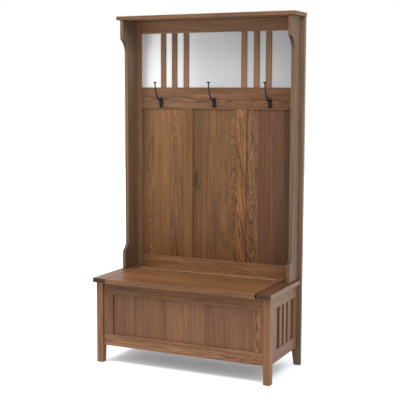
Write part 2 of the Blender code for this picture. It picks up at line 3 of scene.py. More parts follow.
import bmesh
import bpy
from mathutils import Euler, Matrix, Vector


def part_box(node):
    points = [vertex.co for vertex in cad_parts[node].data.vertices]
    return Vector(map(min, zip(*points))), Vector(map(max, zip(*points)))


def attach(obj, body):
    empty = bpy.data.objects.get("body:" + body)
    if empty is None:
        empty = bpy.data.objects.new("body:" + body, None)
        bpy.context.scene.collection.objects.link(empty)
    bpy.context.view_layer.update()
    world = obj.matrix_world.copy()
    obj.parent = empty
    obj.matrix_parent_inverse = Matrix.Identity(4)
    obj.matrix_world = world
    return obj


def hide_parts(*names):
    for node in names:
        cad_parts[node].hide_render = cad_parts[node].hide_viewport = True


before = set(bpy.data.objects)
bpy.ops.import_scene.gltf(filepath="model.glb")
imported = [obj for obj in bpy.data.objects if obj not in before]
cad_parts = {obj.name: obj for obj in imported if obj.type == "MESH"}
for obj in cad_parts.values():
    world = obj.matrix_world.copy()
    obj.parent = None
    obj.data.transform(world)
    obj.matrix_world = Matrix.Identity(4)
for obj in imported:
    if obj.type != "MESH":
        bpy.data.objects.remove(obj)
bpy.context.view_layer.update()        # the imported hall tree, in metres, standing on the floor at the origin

scene = bpy.context.scene
axisNumber = {"x": 0, "y": 1, "z": 2}


def put(tree, kind, **settings):
    node = tree.nodes.new(kind)
    for name, value in settings.items():
        setattr(node, name, value)
    return node


def feed(tree, socket, value):  # a socket takes either another socket or a plain number
    if isinstance(value, bpy.types.NodeSocket):
        tree.links.new(value, socket)
    else:
        socket.default_value = value


def calc(tree, operation, *values, clamp=False):
    node = put(tree, "ShaderNodeMath", operation=operation, use_clamp=clamp)
    for socket, value in zip(node.inputs, values):
        feed(tree, socket, value)
    return node.outputs[0]


def calcVector(tree, operation, *values):
    node = put(tree, "ShaderNodeVectorMath", operation=operation)
    for socket, value in zip(node.inputs, values):
        feed(tree, socket, value)
    return node.outputs["Value" if operation == "LENGTH" else "Vector"]


def noise(tree, where, scale=1.0, detail=2.0, rough=0.5, wanted="Fac"):
    node = put(tree, "ShaderNodeTexNoise")
    feed(tree, node.inputs["Vector"], where)
    feed(tree, node.inputs["Scale"], scale)
    feed(tree, node.inputs["Detail"], detail)
    feed(tree, node.inputs["Roughness"], rough)
    return node.outputs[wanted]


def stretchedNoise(tree, where, stretch, **settings):  # waves per metre along each axis
    return noise(tree, calcVector(tree, "MULTIPLY", where, stretch), **settings)


def mixColour(tree, share, first, second, blend="MIX"):
    node = put(tree, "ShaderNodeMix", data_type="RGBA", blend_type=blend)
    feed(tree, node.inputs["Factor"], share)
    feed(tree, node.inputs[6], first)       # the node's colour sockets stand after its number sockets
    feed(tree, node.inputs[7], second)
    return node.outputs[2]


def remap(tree, value, start, end, startsAt=0.0, endsAt=1.0, smooth=True):
    node = put(tree, "ShaderNodeMapRange", interpolation_type="SMOOTHSTEP" if smooth else "LINEAR")
    limits = {"Value": value, "From Min": start, "From Max": end, "To Min": startsAt, "To Max": endsAt}
    for label, limit in limits.items():
        feed(tree, node.inputs[label], limit)
    return node.outputs["Result"]


def steps(tree, value, stops):  # a grey ramp from (place, brightness) stops
    node = put(tree, "ShaderNodeValToRGB")
    ramp = node.color_ramp
    while len(ramp.elements) < len(stops):
        ramp.elements.new(0.5)
    for element, (place, bright) in zip(ramp.elements, stops):
        element.position = place
        element.color = (bright, bright, bright, 1)
    feed(tree, node.inputs["Fac"], value)
    return node.outputs["Color"]


def startGroup(name, takes, gives):
    tree = bpy.data.node_groups.new(name, "ShaderNodeTree")
    for label, kind, value in takes:
        socket = tree.interface.new_socket(label, in_out="INPUT", socket_type="NodeSocket" + kind)
        socket.default_value = value
    for label, kind in gives:
        tree.interface.new_socket(label, in_out="OUTPUT", socket_type="NodeSocket" + kind)
    return tree, put(tree, "NodeGroupInput").outputs, put(tree, "NodeGroupOutput").inputs


def useGroup(tree, group, values):
    node = put(tree, "ShaderNodeGroup", node_tree=group)
    for label, value in values.items():
        feed(tree, node.inputs[label], value)
    return node.outputs


def startMaterial(name, values):
    material = bpy.data.materials.new(name)
    material.use_nodes = True
    tree = material.node_tree
    shader = tree.nodes["Principled BSDF"]
    for label, value in values.items():
        shader.inputs[label].default_value = value
    return material, tree, shader


def bump(tree, shader, height, distance, strength):
    node = put(tree, "ShaderNodeBump")
    node.inputs["Strength"].default_value = strength
    node.inputs["Distance"].default_value = distance
    feed(tree, node.inputs["Height"], height)
    feed(tree, shader.inputs["Normal"], node.outputs["Normal"])


oakMarks = ("Rings", "Streaks", "Pores", "Drift", "Knot")
farAway = 99        # metres: where a knot goes that no board reaches
# How the rings and the finer marks run: in waves per metre across, through and along the log,
# with the knot's width and length in metres.
oakLog = {
    "knotSize": (0.024, 0.100), "knotFade": 0.15, "knotCrowding": 3.0,
    "slowBend": (6.0, 6.0, 2.2), "slowDetail": 1.5, "slowShare": 4.0,
    "quickBend": (34.0, 34.0, 9.0), "quickDetail": 2.0, "quickShare": 0.55,
    "unevenEvery": 0.31, "unevenBy": 2.6,                           # in rings
    "feather": (480.0, 480.0, 11.0), "featherBy": 1.5,
    "faintestRing": 0.45,
    "ringProfile": [(0.0, 1.0), (0.14, 0.90), (0.34, 0.34), (0.58, 0.08), (0.88, 0.04), (1.0, 0.95)],
    "streaks": (95.0, 95.0, 2.6), "streakRange": (0.34, 0.68),
    "pores": (1900.0, 1900.0, 80.0), "poreRange": (0.54, 0.68), "poresBetweenRings": 0.22,
    "wideDrift": (9.0, 9.0, 1.7), "bandedDrift": (42.0, 42.0, 1.1),
}


def bendPlace(tree, place, coarseness, detail, amount):
    cloud = stretchedNoise(tree, place, coarseness, detail=detail, wanted="Color")
    node = put(tree, "ShaderNodeVectorMath", operation="SCALE")
    feed(tree, node.inputs[0], calcVector(tree, "SUBTRACT", cloud, (0.5, 0.5, 0.5)))
    feed(tree, node.inputs["Scale"], amount)
    return node.outputs[0]


def countRings(tree, bent, ringWidth, knot):  # rings from the heart outwards, uneven and feathered
    radius = calcVector(tree, "LENGTH", calcVector(tree, "MULTIPLY", bent, (1, 1, 0)))
    count = calc(tree, "DIVIDE", radius, ringWidth)
    uneven = put(tree, "ShaderNodeTexNoise", noise_dimensions="1D")
    feed(tree, uneven.inputs["W"], calc(tree, "MULTIPLY", count, oakLog["unevenEvery"]))
    uneven.inputs["Scale"].default_value = 1.0
    uneven.inputs["Detail"].default_value = 1.0
    count = calc(tree, "MULTIPLY_ADD", uneven.outputs["Fac"], oakLog["unevenBy"], count)
    feather = stretchedNoise(tree, bent, oakLog["feather"], detail=3.0, rough=0.6)
    count = calc(tree, "MULTIPLY_ADD", feather, oakLog["featherBy"], count)
    return calc(tree, "MULTIPLY_ADD", knot, oakLog["knotCrowding"], count)


def makeOakFigure():
    # growth rings round the heart of the log, cut through by each board in its own place
    look = oakLog
    tree, take, give = startGroup("oakFigure", [
        ("Log Place", "Vector", (0, 0, 0)), ("Knot Place", "Vector", (0, 0, farAway)),
        ("Ring Width", "Float", 0.003), ("Wander", "Float", 0.005)],
        [(label, "Float") for label in oakMarks])
    place, wander = take["Log Place"], take["Wander"]
    knotWide, knotLong = look["knotSize"]
    fromKnot = calcVector(tree, "SUBTRACT", place, take["Knot Place"])
    fromKnot = calcVector(tree, "MULTIPLY", fromKnot, (1 / knotWide, 0, 1 / knotLong))
    knot = remap(tree, calcVector(tree, "LENGTH", fromKnot), 1.0, look["knotFade"])
    slowly = calc(tree, "MULTIPLY", wander, look["slowShare"])
    slow = bendPlace(tree, place, look["slowBend"], look["slowDetail"], slowly)
    quickly = calc(tree, "MULTIPLY", wander, look["quickShare"])
    quick = bendPlace(tree, place, look["quickBend"], look["quickDetail"], quickly)
    bent = calcVector(tree, "ADD", calcVector(tree, "ADD", place, slow), quick)
    count = countRings(tree, bent, take["Ring Width"], knot)
    ownStrength = put(tree, "ShaderNodeTexWhiteNoise", noise_dimensions="1D")
    feed(tree, ownStrength.inputs["W"], calc(tree, "FLOOR", count))
    strength = remap(tree, ownStrength.outputs["Value"], 0, 1, look["faintestRing"], 1.0, smooth=False)
    profile = steps(tree, calc(tree, "FRACT", count), look["ringProfile"])
    streaks = stretchedNoise(tree, bent, look["streaks"], detail=5.0, rough=0.68)
    pores = remap(tree, stretchedNoise(tree, bent, look["pores"], detail=1.0), *look["poreRange"])
    crowded = remap(tree, profile, 0, 1, look["poresBetweenRings"], 1.0, smooth=False)
    drift = calc(tree, "ADD", stretchedNoise(tree, place, look["wideDrift"], detail=2.0),
                 stretchedNoise(tree, bent, look["bandedDrift"], detail=2.0))
    feed(tree, give["Rings"], calc(tree, "MULTIPLY", profile, strength))
    feed(tree, give["Streaks"], remap(tree, streaks, *look["streakRange"]))
    feed(tree, give["Pores"], calc(tree, "MULTIPLY", pores, crowded))
    feed(tree, give["Drift"], calc(tree, "MULTIPLY", drift, 0.5))
    feed(tree, give["Knot"], knot)
    return tree


oakTreatment = {
    "streakShare": 0.62, "poreShare": 0.62, "pore": (0.022, 0.010, 0.006, 1),
    "haze": (0.112, 0.124, 0.096, 1),                       # painted grey sheen: grey mixed in where the wood looks greyer under the light
    "driftFrom": (0.25, 0.75), "driftLevels": (0.76, 1.24),
    "endGrainFull": 0.8, "endGrain": 0.26, "knot": 0.45, "rubbedAndLit": 1.22,   # how light each leaves the wood
    "redness": {"Red": 0.00, "Green": -0.09, "Blue": 0.28},
    "roughness": {"Rings": 0.10, "Pores": 0.16, "End Grain": 0.12, "Rubbed And Lit": -0.06},
    "ringDepth": 0.35, "poreDepth": 0.9,
}


def makeStain():
    # how the stain and the varnish take on the figure, with a painted grey sheen mixed over it
    look = oakTreatment
    tree, take, give = startGroup("oakStain", [
        *((label, "Float", 0.0) for label in oakMarks),
        ("Late Wood", "Color", (0.3, 0.15, 0.07, 1)), ("Early Wood", "Color", (0.12, 0.05, 0.02, 1)),
        ("Tone", "Float", 1.0), ("Redness", "Float", 0.0), ("Contrast", "Float", 1.0),
        ("Painted Sheen", "Float", 0.0), ("End Grain", "Float", 0.0), ("Rubbed And Lit", "Float", 0.0),
        ("Gloss Base", "Float", 0.4)],
        [("Colour", "Color"), ("Roughness", "Float"), ("Height", "Float")])
    ringShare = calc(tree, "MULTIPLY", take["Rings"], take["Contrast"], clamp=True)
    colour = mixColour(tree, ringShare, take["Late Wood"], take["Early Wood"])
    streakShare = calc(tree, "MULTIPLY", take["Streaks"], take["Contrast"])
    streakShare = calc(tree, "MULTIPLY", streakShare, look["streakShare"], clamp=True)
    colour = mixColour(tree, streakShare, colour, take["Early Wood"])
    poreShare = calc(tree, "MULTIPLY", take["Pores"], look["poreShare"])
    colour = mixColour(tree, poreShare, colour, look["pore"])
    # painted sheen: grey mixed over the stained wood where its faces look greyer under the light
    colour = mixColour(tree, take["Painted Sheen"], colour, look["haze"])
    drift = remap(tree, take["Drift"], *look["driftFrom"], *look["driftLevels"], smooth=False)
    level = calc(tree, "MULTIPLY", take["Tone"], drift)
    for label, full, light in (("End Grain", look["endGrainFull"], look["endGrain"]),
                               ("Knot", 1, look["knot"]), ("Rubbed And Lit", 1, look["rubbedAndLit"])):
        level = calc(tree, "MULTIPLY", level, remap(tree, take[label], 0, full, 1.0, light, smooth=False))
    bright = put(tree, "ShaderNodeCombineColor")
    for channel, lean in look["redness"].items():
        tint = calc(tree, "MULTIPLY_ADD", take["Redness"], lean, 1.0)
        feed(tree, bright.inputs[channel], calc(tree, "MULTIPLY", level, tint))
    feed(tree, give["Colour"], mixColour(tree, 1.0, colour, bright.outputs["Color"], "MULTIPLY"))
    rough = take["Gloss Base"]
    for label, more in look["roughness"].items():
        rough = calc(tree, "MULTIPLY_ADD", take[label], more, rough, clamp=True)
    feed(tree, give["Roughness"], rough)
    low = calc(tree, "MULTIPLY", take["Pores"], look["poreDepth"])
    low = calc(tree, "MULTIPLY_ADD", take["Rings"], look["ringDepth"], low)
    feed(tree, give["Height"], calc(tree, "SUBTRACT", 1.0, low))
    return tree


# the rubbed arrises are lightened for real wear and, on the oak, for a painted edge highlight
wearAndHighlight = {"rubAndHighlightRange": (0.35, 0.70), "smearRange": (0.35, 0.68)}


def makeEdgeRubAndHighlight():
    # patchy rubbing where hands and cloths reach the arrises; on the oak this lightening is also a painted
    # highlight along them
    tree, take, give = startGroup("edgeRubAndHighlight", [
        ("Edge", "Float", 0), ("Place", "Vector", (0, 0, 0)), ("Patch Size", "Float", 20.0),
        ("Amount", "Float", 0.6)],
        [("Rubbed And Lit", "Float")])
    patchy = noise(tree, take["Place"], take["Patch Size"], detail=3.0)
    share = calc(tree, "MULTIPLY", remap(tree, patchy, *wearAndHighlight["rubAndHighlightRange"]), take["Edge"])
    feed(tree, give["Rubbed And Lit"], calc(tree, "MULTIPLY", share, take["Amount"], clamp=True))
    return tree


def makeHandling():
    # faint smears and dust that break up an even shine
    tree, take, give = startGroup("handling", [
        ("Place", "Vector", (0, 0, 0)), ("Smear Size", "Float", 14.0), ("Base", "Float", 0.3),
        ("Spread", "Float", 0.1)],
        [("Roughness", "Float"), ("Mask", "Float")])
    broad = noise(tree, take["Place"], take["Smear Size"], detail=4.0)
    mask = remap(tree, broad, *wearAndHighlight["smearRange"])
    rough = calc(tree, "MULTIPLY_ADD", mask, take["Spread"], take["Base"], clamp=True)
    feed(tree, give["Mask"], mask)
    feed(tree, give["Roughness"], rough)
    return tree


oakFigure, oakStain, edgeRubAndHighlight, handling = makeOakFigure(), makeStain(), makeEdgeRubAndHighlight(), makeHandling()
print("shared effects built")


def addSmears(tree, place, size, base, spread):
    return useGroup(tree, handling, {"Place": place, "Smear Size": size, "Base": base, "Spread": spread})


def named(tree, attribute):  # what layOutGrain wrote on the board's mesh
    return put(tree, "ShaderNodeAttribute", attribute_name=attribute).outputs["Vector"]


def split(tree, vector):
    node = put(tree, "ShaderNodeSeparateXYZ")
    feed(tree, node.inputs[0], vector)
    return node.outputs


def objectPlace(tree):
    return put(tree, "ShaderNodeTexCoord").outputs["Object"]


oakFinishes = {
    "frameOak": {"late": (0.215, 0.096, 0.040, 1), "early": (0.050, 0.017, 0.006, 1), "ring": 0.0030,
                 "wander": 0.0045, "gloss": 0.42, "contrast": 0.85},
    "panelOak": {"late": (0.217, 0.093, 0.028, 1), "early": (0.044, 0.014, 0.004, 1), "ring": 0.0032,
                 "wander": 0.0070, "gloss": 0.44, "contrast": 1.00},
    "seatOak": {"late": (0.215, 0.094, 0.034, 1), "early": (0.066, 0.024, 0.008, 1), "ring": 0.0028,
                "wander": 0.0050, "gloss": 0.36, "contrast": 0.75},
}
varnish = {"specular": 0.22, "patches": 24.0, "rubbedAndLit": 0.8, "grainDepth": 0.0004, "grainStrength": 0.55}


def makeOak(name):
    look = oakFinishes[name]
    material, tree, shader = startMaterial(name, {"Specular IOR Level": varnish["specular"]})
    place = named(tree, "logPlace")
    tone, redness, contrast = split(tree, named(tree, "boardTone"))
    # the board's third mark is its share of painted grey sheen
    endGrain, edge, haze = split(tree, named(tree, "boardMarksAndSheen"))
    figure = useGroup(tree, oakFigure, {
        "Log Place": place, "Knot Place": named(tree, "knotPlace"), "Ring Width": look["ring"],
        "Wander": look["wander"]})
    rubAndHighlight = useGroup(tree, edgeRubAndHighlight, {
        "Edge": edge, "Place": place, "Patch Size": varnish["patches"], "Amount": varnish["rubbedAndLit"]})
    marks = {label: figure[label] for label in oakMarks}
    stain = useGroup(tree, oakStain, {
        **marks, "Late Wood": look["late"], "Early Wood": look["early"], "Tone": tone, "Redness": redness,
        "Contrast": calc(tree, "MULTIPLY", contrast, look["contrast"]), "End Grain": endGrain,
        "Rubbed And Lit": rubAndHighlight["Rubbed And Lit"], "Painted Sheen": haze, "Gloss Base": look["gloss"]})
    feed(tree, shader.inputs["Base Color"], stain["Colour"])
    feed(tree, shader.inputs["Roughness"], stain["Roughness"])
    bump(tree, shader, stain["Height"], varnish["grainDepth"], varnish["grainStrength"])
    return material


def makeMirror():
    # painted light: the mirror's brightness fall-off across its width is painted into its colour, with real
    # smears added over it
    look = {"silver": (0.94, 0.935, 0.935, 1), "shadedSilver": (0.46, 0.455, 0.455, 1), "silvering": 0.50,
            "paintedFalloff": [(0.0, 0.0), (0.12, 0.02), (0.27, 0.42), (0.42, 0.80), (0.63, 0.93), (1.0, 0.97)],
            "halfWidth": 0.46, "smears": (2.0, 0.30, 0.01), "smearShare": 0.03}
    material, tree, shader = startMaterial("silveredMirror", {"Metallic": look["silvering"]})
    place = objectPlace(tree)
    film = addSmears(tree, place, *look["smears"])
    along = remap(tree, split(tree, place)[0], -look["halfWidth"], look["halfWidth"], smooth=False)
    falloffAndSmears = steps(tree, along, look["paintedFalloff"])      # painted shade: the mirror darkens from its left end towards its right end
    falloffAndSmears = calc(tree, "MULTIPLY_ADD", film["Mask"], look["smearShare"], falloffAndSmears, clamp=True)
    feed(tree, shader.inputs["Base Color"], mixColour(tree, falloffAndSmears, look["silver"], look["shadedSilver"]))
    feed(tree, shader.inputs["Roughness"], film["Roughness"])
    return material


def makeBronze():
    look = {"dark": (0.032, 0.028, 0.026, 1), "rubbedAndLit": (0.120, 0.076, 0.048, 1), "metal": 0.85,
            "edges": (0.50, 0.58), "patches": 70.0, "rubAndHighlight": 0.8, "smears": (120.0, 0.36, 0.20),
            "cast": 900.0, "castDepth": 0.0002, "castStrength": 0.5}
    material, tree, shader = startMaterial("oilRubbedBronze", {"Metallic": look["metal"]})
    place = objectPlace(tree)
    edge = remap(tree, put(tree, "ShaderNodeNewGeometry").outputs["Pointiness"], *look["edges"])
    rubAndHighlight = useGroup(tree, edgeRubAndHighlight, {
        "Edge": edge, "Place": place, "Patch Size": look["patches"], "Amount": look["rubAndHighlight"]})
    smear = addSmears(tree, place, *look["smears"])
    feed(tree, shader.inputs["Base Color"], mixColour(tree, rubAndHighlight["Rubbed And Lit"], look["dark"], look["rubbedAndLit"]))
    feed(tree, shader.inputs["Roughness"], smear["Roughness"])
    cast = noise(tree, place, scale=look["cast"], detail=3.0)
    bump(tree, shader, cast, look["castDepth"], look["castStrength"])
    return material


def makeBrass():
    look = {"bright": (0.31, 0.205, 0.118, 1), "dull": (0.16, 0.100, 0.055, 1), "dullShare": 0.6,
            "smears": (60.0, 0.34, 0.18), "drawn": (30.0, 2600.0, 2600.0), "drawnRough": 0.10,
            "drawnDepth": 0.0001, "drawnStrength": 0.3}
    material, tree, shader = startMaterial("hingeBrass", {"Metallic": 1.0})
    place = objectPlace(tree)
    smear = addSmears(tree, place, *look["smears"])
    drawn = stretchedNoise(tree, place, look["drawn"], detail=2.0)
    dull = calc(tree, "MULTIPLY", smear["Mask"], look["dullShare"])
    rough = calc(tree, "MULTIPLY_ADD", drawn, look["drawnRough"], smear["Roughness"])
    feed(tree, shader.inputs["Base Color"], mixColour(tree, dull, look["bright"], look["dull"]))
    feed(tree, shader.inputs["Roughness"], rough)
    bump(tree, shader, drawn, look["drawnDepth"], look["drawnStrength"])
    return material


def makePlywood():
    look = {"pale": (0.32, 0.205, 0.110, 1), "dark": (0.19, 0.110, 0.055, 1),
            "shift": (0.13, 0.31, 0.07), "figure": (1.6, 64.0, 64.0), "figureRange": (0.36, 0.66),
            "pore": (0.08, 0.045, 0.025, 1),
            "pores": (60.0, 1400.0, 1400.0), "poreRange": (0.56, 0.68), "poreShare": 0.5,
            "smears": (8.0, 0.55, 0.12), "poreDepth": 0.0002, "poreStrength": 0.3}
    material, tree, shader = startMaterial("plywoodInside", {})
    place = objectPlace(tree)
    turned = calcVector(tree, "ADD", place, look["shift"])
    figure = stretchedNoise(tree, turned, look["figure"], detail=4.0, rough=0.6)
    figure = remap(tree, figure, *look["figureRange"])
    pores = stretchedNoise(tree, turned, look["pores"], detail=1.0)
    poreShare = calc(tree, "MULTIPLY", remap(tree, pores, *look["poreRange"]), look["poreShare"])
    colour = mixColour(tree, figure, look["pale"], look["dark"])
    smear = addSmears(tree, place, *look["smears"])
    feed(tree, shader.inputs["Base Color"], mixColour(tree, poreShare, colour, look["pore"]))
    feed(tree, shader.inputs["Roughness"], smear["Roughness"])
    bump(tree, shader, pores, look["poreDepth"], look["poreStrength"])
    return material


oaks = {name: makeOak(name) for name in oakFinishes}
mirrorFinish, plywoodFinish = makeMirror(), makePlywood()
bronzeFinish, brassFinish = makeBronze(), makeBrass()
print("finishes built")


# How a board lies in its log: where the heart is from the middle of its width and thickness,
# and how far it drifts across and through for each metre of length.
cutsFromLog = {
    "straight": ((0.145, 0.040), (0.012, 0.004)),
    "rift": ((0.075, 0.060), (0.020, 0.010)),
    "cathedral": ((0.000, 0.040), (0.010, 0.110)),
    "cathedralDown": ((0.004, 0.046), (-0.010, -0.110)),
    "flame": ((0.006, 0.026), (0.020, 0.055)),
    "slanted": ((0.030, 0.034), (0.140, 0.060)),
    "flowing": ((0.012, 0.045), (0.015, 0.018)),
}
joinery = {
    "weld": 0.000002, "flatWithin": 1,      # metres between points that are one, degrees in one flat face
    "onSide": 0.00002, "sharpFrom": 25,     # metres from the board's outer side, degrees at a sharp edge
    "roundSteps": 3, "smoothUpTo": 13,      # facets in an eased arris, degrees that shade as one
    "edgeFacing": 0.7,                      # how squarely a face looks across the board to be its edge
    "logSpacing": 3.7, "staveSpacing": 0.73,        # metres along the log, and the share between staves
}


def cadCopy(node):  # the CAD board's own shape, welded and with its flat faces whole
    bm = bmesh.new()
    bm.from_mesh(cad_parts[node].data)
    bmesh.ops.remove_doubles(bm, verts=bm.verts, dist=joinery["weld"])
    flat = math.radians(joinery["flatWithin"])
    bmesh.ops.dissolve_limit(bm, angle_limit=flat, verts=bm.verts, edges=bm.edges)
    return bm


def outerSides(edge, low, high):  # the sides of the board's box that an edge lies in
    sides = []
    for axis in range(3):
        for side, limit in (("low", low[axis]), ("high", high[axis])):
            if all(abs(vert.co[axis] - limit) < joinery["onSide"] for vert in edge.verts):
                sides.append((axis, side))
    return sides


def arrises(bm, low, high, faces):
    # sharp edges where two of the outer sides meet, or all round the sides named in faces
    chosen = []
    for edge in bm.edges:
        if len(edge.link_faces) != 2 or edge.calc_face_angle(0) < math.radians(joinery["sharpFrom"]):
            continue
        sides = outerSides(edge, low, high)
        if faces == "all" or len(sides) >= 2 or any(side in faces for side in sides):
            chosen.append(edge)
    return chosen


def shapeBoard(bm, ease, faces):
    low = Vector([min(vert.co[axis] for vert in bm.verts) for axis in range(3)])
    high = Vector([max(vert.co[axis] for vert in bm.verts) for axis in range(3)])
    eased = bm.faces.layers.int.new("eased")
    if ease:
        made = bmesh.ops.bevel(
            bm, geom=arrises(bm, low, high, faces), offset=ease, segments=joinery["roundSteps"],
            profile=0.5, affect="EDGES", clamp_overlap=True)
        for face in made["faces"]:
            face[eased] = 1
    return low, high, eased


def cutStaves(bm, across, borders):
    for border in borders:
        point, normal = Vector((0, 0, 0)), Vector((0, 0, 0))
        point[across], normal[across] = border, 1
        everything = bm.verts[:] + bm.edges[:] + bm.faces[:]
        bmesh.ops.bisect_plane(bm, geom=everything, plane_co=point, plane_no=normal)


def bothEnds(stave, name, usual):  # a value at the near end of the grain and at the far end
    near = stave.get(name, usual)
    return near, stave.get(name + "End", near)


def blend(ends, share):
    near, far = ends
    return near + (far - near) * share


def knotIn(stave, turn, logLength):  # where the stave's knot stands in its log, if it has one
    (heart, _), (lean, _) = cutsFromLog[stave["cut"]]
    fromMiddle, fromPeak = stave.get("knot", (0, farAway))
    return (fromMiddle * turn + heart + lean * fromPeak, 0, fromPeak + logLength)


def layOutGrain(bm, low, high, eased, grain, staves, seed):
    # each stave across the width gets its own place in its own log
    along = axisNumber[grain]
    size = high - low
    across, through = sorted((axis for axis in range(3) if axis != along), key=lambda axis: -size[axis])
    borders = [low[across] + size[across] * stave["end"] for stave in staves[:-1]]
    cutStaves(bm, across, borders)
    layers = [bm.loops.layers.float_vector.new(name)
              for name in ("logPlace", "boardTone", "boardMarksAndSheen", "knotPlace")]
    logPlace, boardTone, boardMarksAndSheen, knotPlace = layers
    bm.normal_update()
    starts = [low[across]] + borders
    ends = borders + [high[across]]
    for face in bm.faces:
        middle = face.calc_center_median()[across]
        number = sum(1 for border in borders if middle > border)
        stave = staves[number]
        (heartA, heartB), (leanA, leanB) = cutsFromLog[stave["cut"]]
        centre = (starts[number] + ends[number]) / 2 + stave.get("shift", 0)
        turn = -1 if stave.get("flip") else 1
        peak = stave.get("peak", 0.5)
        endness = abs(face.normal[along])
        logLength = joinery["logSpacing"] * (seed + number * joinery["staveSpacing"])
        knot = knotIn(stave, turn, logLength)
        isEdge = abs(face.normal[across]) > joinery["edgeFacing"]
        # painted light: faces looking across the board can be painted lighter than its broad faces
        light = stave.get("edgeTone", 1) if isEdge else 1
        tones, hazes = bothEnds(stave, "tone", 1), bothEnds(stave, "haze", 0)
        for loop in face.loops:
            run = loop.vert.co[along] - (low[along] + size[along] * peak)
            share = (loop.vert.co[along] - low[along]) / size[along]
            acrossLog = (loop.vert.co[across] - centre) * turn + heartA + leanA * run
            throughLog = loop.vert.co[through] - (low[through] + high[through]) / 2 + heartB + leanB * run
            loop[logPlace] = (acrossLog, throughLog, run + logLength)
            loop[knotPlace] = knot
            loop[boardTone] = (blend(tones, share) * light, stave.get("red", 0), stave.get("contrast", 1))
            loop[boardMarksAndSheen] = (endness * stave.get("endDark", 1), face[eased], blend(hazes, share))


def oakBoard(node, piece, grain, finish, staves, ease, seed, faces=(), body="carcass"):
    bm = cadCopy(node)
    low, high, eased = shapeBoard(bm, ease, faces)
    layOutGrain(bm, low, high, eased, grain, staves, seed)
    mesh = bpy.data.meshes.new(piece)
    bm.to_mesh(mesh)
    bm.free()
    mesh.shade_smooth()
    mesh.set_sharp_from_angle(angle=math.radians(joinery["smoothUpTo"]))
    mesh.materials.append(oaks[finish])
    board = bpy.data.objects.new(piece, mesh)
    scene.collection.objects.link(board)
    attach(board, body)
    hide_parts(node)


def plain(cut, tone=1.0, **more):  # one board, not glued up
    return [{"end": 1, "cut": cut, "tone": tone, **more}]


# In the dictionaries below, a board lists its staves across its width, each up to its "end".
# "tone" and the painted grey sheen hold all along the grain unless the key with "End" added gives the far end
# its own; on some boards that far-end tone paints the light falling off along the board.
# A seed is the board's place in the store of logs, and an ease rounds its arrises, in metres.
crown = {"ease": 0.0022, "seed": 1.3, "staves": plain("rift", 0.92, haze=0.07, endDark=0.0, contrast=1.1)}


def makeCrown():
    oakBoard("crown_board", "crownBoard", "x", "frameOak", crown["staves"], crown["ease"], crown["seed"])


posts = {
    "ease": 0.0016, "seed": 2.1, "rounded": ((1, "low"),),      # rounded all round the front face
    "left": plain("rift", 1.38, shift=0.01, haze=0.14),
    "right": plain("rift", 0.86, toneEnd=1.54, flip=True, haze=0.36),
}
sideBoards = {
    "ease": 0.0018, "seed": 4.2, "rounded": "all",
    "left": plain("straight", 0.88, toneEnd=1.02, shift=0.02, haze=0.20, hazeEnd=0.34),
    "right": plain("rift", 0.86, flip=True, haze=0.20),
}


def makeUprights():
    for number, side in enumerate(("left", "right")):
        oakBoard(f"rear_post_{side}", f"rearPost.{side}", "z", "frameOak", posts[side], posts["ease"],
                 posts["seed"] + number, faces=posts["rounded"])
        oakBoard(f"side_board_{side}", f"sideBoard.{side}", "z", "frameOak", sideBoards[side],
                 sideBoards["ease"], sideBoards["seed"] + number, faces=sideBoards["rounded"])


backFrame = {
    "ease": 0.0012, "seed": 6.1,
    "members": {
        # painted light: the top rail is lightened well above the other rails to lift the shade under the crown
        "back_top_rail": ("x", "frameOak", plain("straight", 1.84, toneEnd=1.38, haze=0.13)),
        # painted shade: the hook rail darkens towards its right end, with painted grey sheen at its left end
        "hook_rail": ("x", "frameOak", plain("flowing", 1.27, toneEnd=0.90, peak=0.40, contrast=1.25,
                                             haze=0.16, hazeEnd=0.0)),
        "back_bottom_rail": ("x", "frameOak", plain("flowing", 1.38, peak=0.7, contrast=1.2, haze=0.03)),
        "back_muntin_left": ("z", "panelOak", plain("rift", 0.80, contrast=0.43, haze=0.02)),
        "back_muntin_right": ("z", "panelOak", plain("slanted", 1.40, toneEnd=1.58, peak=0.45, contrast=1.5,
                                                     hazeEnd=0.05)),
    },
}


def makeMembers(look):  # the rails, stiles and muntins of one frame
    for number, (node, (grain, finish, staves)) in enumerate(look["members"].items()):
        oakBoard(node, node.replace("_", "."), grain, finish, staves, look["ease"], look["seed"] + number)


